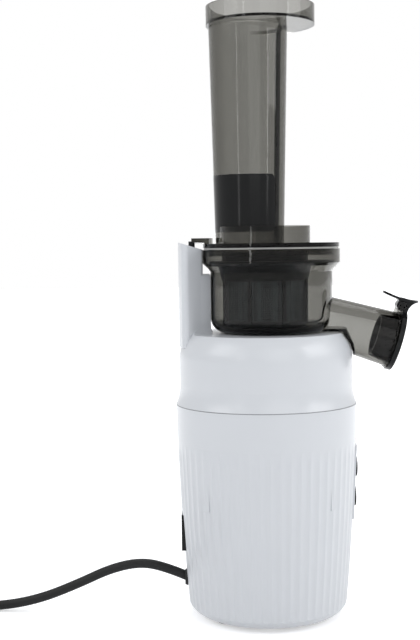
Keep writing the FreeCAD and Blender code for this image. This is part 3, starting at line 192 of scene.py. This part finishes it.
MATERIALS = {
    "white_gloss": plastic(
        "white_gloss_plastic", (0.60, 0.615, 0.64), (0.58, 0.595, 0.62),
        rough=(0.26, 0.34), grain=700, depth=0.00003, coat=0.08,
    ),
    "white_inner": plastic(
        "white_inner_plastic", (0.60, 0.61, 0.63), (0.55, 0.56, 0.58),
        rough=(0.34, 0.46), grain=500, depth=0.0001,
    ),
    "smoked": smoked("smoked_plastic", (0.82, 0.82, 0.81), depth_colour=(0.30, 0.29, 0.25), density=420),
    # The rib's smoked plastic is a darker, denser copy of the tube's: painted shade, so that the rib shows
    # as a dark line
    "smoked_rib": smoked(
        "smoked_rib_painted_shade", (0.45, 0.44, 0.42), depth_colour=(0.10, 0.09, 0.07), density=1600
    ),
    # Grey of the seam ring: painted shade in place of the shadow in the seam
    "seam_grey": plastic(
        "seam_painted_shade_grey", (0.30, 0.31, 0.32), (0.26, 0.27, 0.28),
        rough=(0.5, 0.6), grain=500, depth=0.00005, specular=0.2,
    ),
    "dark_strainer": plastic(
        "dark_strainer_plastic", grey(0.010, 0.15), grey(0.016, 0.12),
        rough=(0.28, 0.40), grain=500, depth=0.0001, specular=0.16,
    ),
    "mesh_steel": mesh_steel(),
    "black_gloss": plastic(
        "black_gloss_plastic", grey(0.006, 0.05), grey(0.010, 0.05),
        rough=(0.10, 0.18), grain=600, depth=0.00004, specular=DARK_SPECULAR,
    ),
    "black_matte": plastic(
        "black_satin_plastic", grey(0.008, 0.05), grey(0.014, 0.05),
        rough=(0.34, 0.48), grain=550, depth=0.0001, specular=DARK_SPECULAR,
    ),
    "rubber_black": rubber("black_rubber", grey(0.010, 0.03)),
    "silicone_grey": rubber("grey_silicone", (0.30, 0.30, 0.29), grain=300),
    "steel": metal("ground_steel", (0.60, 0.60, 0.61), rough=(0.22, 0.34), stretch=(1, 1, 0.15)),
    "zinc": metal("zinc_plate", (0.66, 0.66, 0.64), rough=(0.25, 0.38)),
    "gear_nylon": plastic(
        "nylon_gear", (0.74, 0.70, 0.60), (0.68, 0.64, 0.54),
        rough=(0.36, 0.48), grain=400, depth=0.0001,
    ),
    "gear_steel": metal("cut_gear_steel", (0.45, 0.45, 0.47), rough=(0.28, 0.40)),
    "frame_black": plastic(
        "glass_filled_black", grey(0.035, 0.02), grey(0.055, 0.02),
        rough=(0.50, 0.65), grain=350, depth=0.0002,
    ),
    "magnet": plastic(
        "ferrite_magnet", (0.060, 0.058, 0.056), (0.085, 0.082, 0.080),
        rough=(0.62, 0.78), grain=300, depth=0.0002,
    ),
    "lamination": metal("stacked_laminations", (0.32, 0.30, 0.27), rough=(0.36, 0.50), stretch=(1, 1, 12)),
    "board": plastic(
        "solder_resist_green", (0.015, 0.13, 0.045), (0.020, 0.17, 0.060),
        rough=(0.28, 0.40), grain=300, depth=0.0001,
    ),
    "lens_red": plastic(
        "red_lens", (0.42, 0.012, 0.010), (0.50, 0.016, 0.012),
        rough=(0.06, 0.12), grain=300, depth=0.00002, coat=0.3,
    ),
    "cord_black": rubber("cord_jacket", grey(0.007, 0.03), grain=600),
    "pin_brass": metal("nickel_plated_pin", (0.70, 0.67, 0.60), rough=(0.16, 0.26)),
    "tie_wire": rubber("twist_tie", grey(0.010, 0.03), grain=500),
}

for part in frame["record"]["subparts"]:
    shown = nodes[part["node"]]
    shown.data.materials.clear()
    shown.data.materials.append(MATERIALS[part["material_slot"]])


# Mesh helpers
def band(build, rows, closed=True):
    """Faces between neighbouring rows of points."""
    for low, high in zip(rows, rows[1:]):
        for index in range(len(low) if closed else len(low) - 1):
            after = (index + 1) % len(low)
            build.faces.new((low[index], low[after], high[after], high[index]))


def capped_band(build, rows):
    """A closed skin: the faces between the rows, and one over each end row."""
    band(build, rows)
    build.faces.new(list(reversed(rows[0])))
    build.faces.new(rows[-1])


def riding(build, name, material, body, smooth=True):
    """The built skin as an object that rides on a body."""
    mesh = bpy.data.meshes.new(name)
    build.to_mesh(mesh)
    build.free()
    mesh.materials.append(MATERIALS[material])
    for polygon in mesh.polygons:
        polygon.use_smooth = smooth
    made = bpy.data.objects.new(name, mesh)
    bpy.context.scene.collection.objects.link(made)
    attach(made, body)
    return made


# Feed tube, as in the part's source
TUBE_X = -9 * MM
TUBE_Y = 5 * MM
TUBE_FOOT_R = 21.7 * MM
TUBE_TOP_R = 24.8 * MM
TUBE_FOOT_Z = 236.3 * MM
TUBE_TOP_Z = 371 * MM
TUBE_WALL = 2.0 * MM


def tube_radius(z):
    share = (z - TUBE_FOOT_Z) / (TUBE_TOP_Z - TUBE_FOOT_Z)
    return TUBE_FOOT_R + (TUBE_TOP_R - TUBE_FOOT_R) * share


# Bare label on the tube's foot, between two angles in degrees
LABEL_LOW_Z = 243.5 * MM
LABEL_HIGH_Z = 279.0 * MM
LABEL_START = 176
LABEL_END = 313
LABEL_LIFT = 0.12 * MM
LABEL_CORNER = 2.5 * MM
LABEL_COLUMNS = 72
LABEL_ROWS = 16


def label_patch():
    build = bmesh.new()
    rows = []
    for row in range(LABEL_ROWS + 1):
        z = LABEL_LOW_Z + (LABEL_HIGH_Z - LABEL_LOW_Z) * row / LABEL_ROWS
        edge = min(z - LABEL_LOW_Z, LABEL_HIGH_Z - z)
        inset = 0.0
        if edge < LABEL_CORNER:
            inset = LABEL_CORNER - math.sqrt(LABEL_CORNER ** 2 - (LABEL_CORNER - edge) ** 2)
        radius = tube_radius(z) + LABEL_LIFT
        trim = math.degrees(inset / radius)
        width = LABEL_END - LABEL_START - 2 * trim
        line = []
        for column in range(LABEL_COLUMNS + 1):
            turn = math.radians(LABEL_START + trim + width * column / LABEL_COLUMNS)
            x = TUBE_X + radius * math.cos(turn)
            y = TUBE_Y + radius * math.sin(turn)
            line.append(build.verts.new((x, y, z)))
        rows.append(line)
    band(build, rows, closed=False)
    return riding(build, "label_patch", "black_gloss", "chute")


label_patch()

# Guide rib inside the feed tube, which keeps a pusher from turning
RIB_ANGLE = -34
RIB_DEPTH = 3.0 * MM
RIB_HALF = 0.75 * MM
RIB_ROOT_HALF = 1.3 * RIB_HALF
RIB_SINK = 0.05 * MM
RIB_END_SHARE = 0.35
RIB_LEVELS = 24


def guide_rib():
    build = bmesh.new()
    rows = []
    turn = math.radians(RIB_ANGLE)
    outward = Vector((math.cos(turn), math.sin(turn), 0))
    across = Vector((-math.sin(turn), math.cos(turn), 0))
    for level in range(RIB_LEVELS + 1):
        z = TUBE_FOOT_Z + (TUBE_TOP_Z - TUBE_FOOT_Z) * level / RIB_LEVELS
        centre = Vector((TUBE_X, TUBE_Y, z))
        outer = tube_radius(z) - TUBE_WALL + RIB_SINK
        depth = RIB_DEPTH * (RIB_END_SHARE if level in (0, RIB_LEVELS) else 1.0)
        nose = outer - depth
        shoulder = nose + RIB_HALF
        section = [
            (outer, -RIB_ROOT_HALF), (shoulder, -RIB_HALF), (nose, 0),
            (shoulder, RIB_HALF), (outer, RIB_ROOT_HALF),
        ]
        rows.append([build.verts.new(centre + outward * r + across * side) for r, side in section])
    capped_band(build, rows)
    return riding(build, "guide_rib", "smoked_rib", "chute", smooth=False)


guide_rib()

# Painted shade: a thin grey ring, a little proud of the surface, stands in for the shadow in the seam
# between the two housings
SEAM_R = 57.0 * MM
SEAM_Z = 135.5 * MM
SEAM_SINK = 0.20 * MM
SEAM_PROUD = 0.07 * MM
SEAM_ROOT_HALF = 0.32 * MM
SEAM_LIP_HALF = 0.22 * MM
SEAM_STEPS = 168


def seam_painted_shade():
    build = bmesh.new()
    section = [
        (-SEAM_SINK, -SEAM_ROOT_HALF), (SEAM_PROUD, -SEAM_LIP_HALF),
        (SEAM_PROUD, SEAM_LIP_HALF), (-SEAM_SINK, SEAM_ROOT_HALF),
    ]
    rings = []
    for out, up in section:
        radius = SEAM_R + out
        line = []
        for index in range(SEAM_STEPS):
            turn = 2 * math.pi * index / SEAM_STEPS
            line.append(build.verts.new((radius * math.cos(turn), radius * math.sin(turn), SEAM_Z + up)))
        rings.append(line)
    band(build, rings + rings[:1])
    return riding(build, "seam_painted_shade", "seam_grey", "base")


seam_painted_shade()

# Faces that meet more sharply than this many degrees keep an edge
SHARP_ANGLE = 38


def moulding(name, rows, body, slot_name):
    """A closed skin through rows of points, smooth but for its sharp corners."""
    build = bmesh.new()
    capped_band(build, [[build.verts.new(place) for place in row] for row in rows])
    bmesh.ops.recalc_face_normals(build, faces=build.faces)
    made = riding(build, name, slot_name, body)
    made.data.set_sharp_from_angle(angle=math.radians(SHARP_ANGLE))
    return made


# Foot of the tower, which comes forward to the bowl's barrel and flares into the deck
BOWL_X = 4.0 * MM
FOOT_FRONT_R = 39.3 * MM
FOOT_BACK_X = -41.5 * MM
FOOT_HALF = 8.6 * MM
FOOT_BACK_HALF = 12.7 * MM
FOOT_LOW_Z = 179.8 * MM
FOOT_TOP_Z = 217.4 * MM
FOOT_FLARE = 5.0 * MM
FOOT_FLARE_STEPS = 8
FOOT_BEVEL = 0.9 * MM
FOOT_BEVEL_SLOPE = 0.8
FOOT_BEVEL_DROPS = (1.2 * MM, 0.4 * MM, 0.0)
FOOT_HALF_STEPS = 8


def tower_foot():
    levels = [FOOT_LOW_Z + FOOT_FLARE * step / FOOT_FLARE_STEPS for step in range(FOOT_FLARE_STEPS + 1)]
    levels += [FOOT_TOP_Z - drop for drop in FOOT_BEVEL_DROPS]
    rows = []
    for z in levels:
        rise = min(FOOT_FLARE, z - FOOT_LOW_Z)
        flare = FOOT_FLARE - math.sqrt(FOOT_FLARE ** 2 - (FOOT_FLARE - rise) ** 2)
        trim = max(0.0, FOOT_BEVEL - (FOOT_TOP_Z - z)) * FOOT_BEVEL_SLOPE
        widen = flare - trim
        row = []
        for index in range(-FOOT_HALF_STEPS, FOOT_HALF_STEPS + 1):
            y = (FOOT_HALF + widen) * index / FOOT_HALF_STEPS
            row.append((BOWL_X - math.sqrt((FOOT_FRONT_R + trim) ** 2 - y * y), y, z))
        row.append((FOOT_BACK_X, FOOT_BACK_HALF + widen, z))
        row.append((FOOT_BACK_X, -FOOT_BACK_HALF - widen, z))
        rows.append(row)
    return moulding("tower_foot", rows, "base", "white_gloss")


tower_foot()

# Neck of the stopper, which flares from the disc into the thumb pad: its outline in
# millimetres along and across the spout's axis, narrower at its two flat sides
SPOUT_X = 80.5
SPOUT_Z = 174.3
SPOUT_TILT = 17.0
NECK_OUTLINE = [
    (0.5, 14.5), (3.3, 14.5), (3.3, 19.3), (3.6, 21.4), (4.6, 23.8), (6.2, 25.7), (8.3, 26.9),
    (2.0, 26.6), (-5.0, 26.4), (-4.6, 25.4), (-3.7, 24.4), (-2.0, 22.3), (0.4, 20.3),
]
NECK_MIDDLE = 2.0
NECK_SIDE_SHARE = 11 / 12
NECK_HALF = 4.72
NECK_BEVEL = 0.4


def neck_row(y, share):
    tilt = math.radians(SPOUT_TILT)
    row = []
    for along, across in NECK_OUTLINE:
        along = NECK_MIDDLE + (along - NECK_MIDDLE) * share
        x = SPOUT_X + along * math.cos(tilt) + across * math.sin(tilt)
        z = SPOUT_Z - along * math.sin(tilt) + across * math.cos(tilt)
        row.append((MM * x, MM * y, MM * z))
    return row


def stopper_neck():
    sides = [(-NECK_HALF, NECK_SIDE_SHARE), (NECK_BEVEL - NECK_HALF, 1.0)]
    sides += [(NECK_HALF - NECK_BEVEL, 1.0), (NECK_HALF, NECK_SIDE_SHARE)]
    return moulding("stopper_neck", [neck_row(*side) for side in sides], "stopper", "black_gloss")


stopper_neck()

# Mains cord: the CAD route's points in millimetres, with the coil's turns worked out
CORD_D = 6 * MM
LEAD_POINTS = [
    (-50.5, 0.0, 23.5), (-63.0, 0.0, 29.0), (-80.0, 0.0, 33.5), (-100.0, 1.0, 29.5), (-122.0, 3.0, 19.0),
    (-147.0, 6.0, 8.6), (-172.0, 9.0, 3.3), (-197.0, 9.9, 3.1),
]
COIL_X = -217.0
COIL_Y = -28.5
COIL_OUTER_R = 38.5
COIL_STEP = 6.7
COIL_TURNS = 4.25
COIL_START_ANGLE = 90
COIL_LOW_Z = 3.1
COIL_LAYER = 6.7
COIL_RISE_TURNS = 0.5
COIL_END_X = COIL_X - COIL_OUTER_R
COIL_TOP_Z = COIL_LOW_Z + COIL_LAYER
TAIL_POINTS = [
    (COIL_END_X, COIL_Y - 11.0, COIL_TOP_Z - 0.4),
    (COIL_END_X + 0.5, COIL_Y - 22.0, COIL_TOP_Z - 1.9),
    (COIL_END_X + 1.3, COIL_Y - 33.0, COIL_TOP_Z - 3.0),
]
POINTS_PER_TURN = 16


def coil_points():
    """Turns that wind inwards on the floor, rise at the middle and wind outwards on top."""
    outward = 1 / math.cos(math.pi / POINTS_PER_TURN)
    middle = COIL_TURNS / 2
    points = []
    for index in range(int(COIL_TURNS * POINTS_PER_TURN)):
        turn = (index + 0.5) / POINTS_PER_TURN
        radius = (COIL_OUTER_R - COIL_STEP * (middle - abs(turn - middle))) * outward
        rise = min(1.0, max(0.0, (turn - middle) / COIL_RISE_TURNS + 0.5))
        z = COIL_LOW_Z + COIL_LAYER * rise * rise * (3 - 2 * rise)
        angle = math.radians(COIL_START_ANGLE + 360 * turn)
        points.append((COIL_X + radius * math.cos(angle), COIL_Y + radius * math.sin(angle), z))
    return points


def mains_cord():
    points = LEAD_POINTS + coil_points() + TAIL_POINTS
    curve = bpy.data.curves.new("mains_cord", "CURVE")
    curve.dimensions = "3D"
    curve.bevel_depth = CORD_D / 2
    curve.bevel_resolution = 6
    curve.resolution_u = 8
    curve.use_fill_caps = True
    spline = curve.splines.new("NURBS")
    spline.points.add(len(points) - 1)
    for point, place in zip(spline.points, points):
        point.co = (*(MM * value for value in place), 1)
    spline.order_u = 3
    spline.use_endpoint_u = True
    curve.materials.append(MATERIALS["cord_black"])
    cord = bpy.data.objects.new("mains_cord", curve)
    bpy.context.scene.collection.objects.link(cord)
    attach(cord, "base")
    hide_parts("cord_lead", "cord_coil", "cord_tail")
    return cord


mains_cord()

# Floor and world: white where they are seen, and plain soft light on the object
WHITE = (1, 1, 1, 1)
FLOOR_HALF = 6.0
FLOOR_COLOUR = (0.88, 0.88, 0.89, 1)
GLOW_NEAR_AT = 0.15
GLOW_FAR_AT = 0.9
GLOW_NEAR = 0.45
GLOW_FAR = 1.0
WORLD_COLOUR = (0.90, 0.93, 0.96, 1)
WORLD_STRENGTH = 0.58


def background_ray(tree):
    """One for the rays that see the background: straight, through glass or mirrored."""
    path = tree.nodes.new("ShaderNodeLightPath")
    total = path.outputs["Is Camera Ray"]
    for other in ("Is Transmission Ray", "Is Glossy Ray"):
        either = node(tree, "ShaderNodeMath")
        either.operation = "MAXIMUM"
        link(tree, total, either.inputs[0])
        link(tree, path.outputs[other], either.inputs[1])
        total = either.outputs[0]
    return total


def floor_glow(tree):
    """Light that the floor shows to background rays, less near the object, where it keeps the shadow."""
    place = tree.nodes.new("ShaderNodeTexCoord")
    away = node(tree, "ShaderNodeVectorMath")
    away.operation = "LENGTH"
    link(tree, place.outputs["Object"], away.inputs[0])
    reach = node(tree, "ShaderNodeMapRange", From_Min=GLOW_NEAR_AT, From_Max=GLOW_FAR_AT)
    reach.inputs["To Min"].default_value = GLOW_NEAR
    reach.inputs["To Max"].default_value = GLOW_FAR
    link(tree, away.outputs["Value"], reach.inputs["Value"])
    strength = node(tree, "ShaderNodeMath")
    strength.operation = "MULTIPLY"
    link(tree, reach.outputs["Result"], strength.inputs[0])
    link(tree, background_ray(tree), strength.inputs[1])
    glow = node(tree, "ShaderNodeEmission", Color=WHITE)
    link(tree, strength.outputs[0], glow.inputs["Strength"])
    return glow.outputs[0]


def stage_floor():
    corners = [(-1, -1), (1, -1), (1, 1), (-1, 1)]
    mesh = bpy.data.meshes.new("studio_floor")
    mesh.from_pydata([(FLOOR_HALF * x, FLOOR_HALF * y, 0) for x, y in corners], [], [(0, 1, 2, 3)])
    floor = bpy.data.objects.new("studio_floor", mesh)
    bpy.context.scene.collection.objects.link(floor)
    material, tree, shader = new_material("studio_floor")
    shader.inputs["Base Color"].default_value = FLOOR_COLOUR
    shader.inputs["Roughness"].default_value = 0.7
    shader.inputs["Specular IOR Level"].default_value = 0.1
    add = tree.nodes.new("ShaderNodeAddShader")
    link(tree, shader.outputs[0], add.inputs[0])
    link(tree, floor_glow(tree), add.inputs[1])
    link(tree, add.outputs[0], tree.nodes["Material Output"].inputs["Surface"])
    mesh.materials.append(material)


def stage_world():
    world = bpy.data.worlds.new("studio")
    bpy.context.scene.world = world
    world.use_nodes = True
    tree = world.node_tree
    lit = tree.nodes["Background"]
    lit.inputs["Color"].default_value = WORLD_COLOUR
    lit.inputs["Strength"].default_value = WORLD_STRENGTH
    seen = node(tree, "ShaderNodeBackground", Color=WHITE, Strength=1.0)
    mix = tree.nodes.new("ShaderNodeMixShader")
    link(tree, background_ray(tree), mix.inputs[0])
    link(tree, lit.outputs[0], mix.inputs[1])
    link(tree, seen.outputs[0], mix.inputs[2])
    link(tree, mix.outputs[0], tree.nodes["World Output"].inputs["Surface"])


stage_floor()
stage_world()

# Lamps, all turned to a height on the object's middle line
MIDDLE_HEIGHT = 0.2


def area_light(name, place, size, power, tall=None, aim_z=MIDDLE_HEIGHT):
    """A square lamp, or an upright strip when tall is given."""
    data = bpy.data.lights.new(name, "AREA")
    data.energy = power
    data.size = size
    if tall:
        data.shape = "RECTANGLE"
        data.size_y = tall
    lamp = bpy.data.objects.new(name, data)
    lamp.location = place
    sight = Vector((0, 0, aim_z)) - Vector(place)
    lamp.rotation_euler = sight.to_track_quat("-Z", "Y").to_euler()
    bpy.context.scene.collection.objects.link(lamp)


area_light("key_softbox", (-1.25, -0.55, 1.0), size=0.9, power=7)
area_light("fill_softbox", (1.25, -0.35, 0.8), size=0.8, power=6)
area_light("top_softbox", (0.1, 0.4, 1.4), size=0.9, power=6)
area_light("front_softbox", (0.35, -1.3, 0.7), size=0.9, power=2.5)
area_light("left_strip", (-0.55, -0.75, 0.45), size=0.05, power=0.5, tall=0.5, aim_z=0.25)
area_light("right_strip", (0.70, -0.45, 0.50), size=0.05, power=0.6, tall=0.5, aim_z=0.22)

# Camera at the photograph's angle, in degrees, with its focal length in the picture's pixels
EYE = Vector((-0.035, -0.752, 0.235))
FOCAL_PIXELS = 1190
FRAME_HEIGHT_PIXELS = 640
SENSOR = 36
PITCH_DOWN = 3.56
ROLL = 0.75


def stage_camera():
    data = bpy.data.cameras.new("photo_camera")
    data.sensor_width = SENSOR
    data.lens = FOCAL_PIXELS * SENSOR / FRAME_HEIGHT_PIXELS
    camera = bpy.data.objects.new("photo_camera", data)
    pitch = Matrix.Rotation(math.radians(90 - PITCH_DOWN), 4, "X")
    roll = Matrix.Rotation(math.radians(-ROLL), 4, "Z")
    camera.matrix_world = Matrix.Translation(EYE) @ pitch @ roll
    bpy.context.scene.collection.objects.link(camera)
    bpy.context.scene.camera = camera


stage_camera()
bpy.context.scene.view_settings.view_transform = "Standard"
